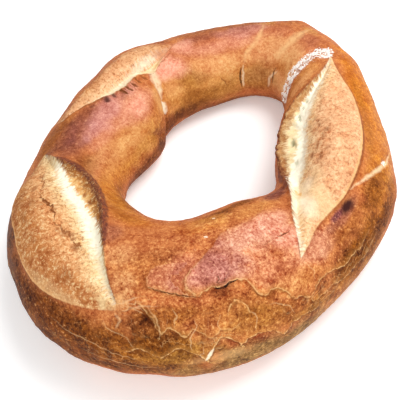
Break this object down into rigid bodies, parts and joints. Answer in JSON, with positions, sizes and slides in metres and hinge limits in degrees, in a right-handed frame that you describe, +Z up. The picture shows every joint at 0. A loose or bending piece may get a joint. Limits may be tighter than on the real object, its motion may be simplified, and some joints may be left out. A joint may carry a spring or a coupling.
{
  "type": "ring loaf",
  "caption": "Uneven ring of crusty baked bread with opened slashes across the top, a lapped dough seam, a flaked lower crust and a flat base, around an open hole.",
  "frame": {"origin": "middle of the loaf's outline, on the flat base", "axes": "+Z up through the loaf, +Y along its longest way towards the narrow back, the wide front faces -Y"},
  "size_m": [0.2593, 0.2916, 0.0776],
  "materials": {
    "crust": "browned bread crust, slightly shiny on top, with pale cream crumb in the slashes"
  },
  "bodies": {
    "root": {"loaf": "crust"}
  },
  "joints": []
}
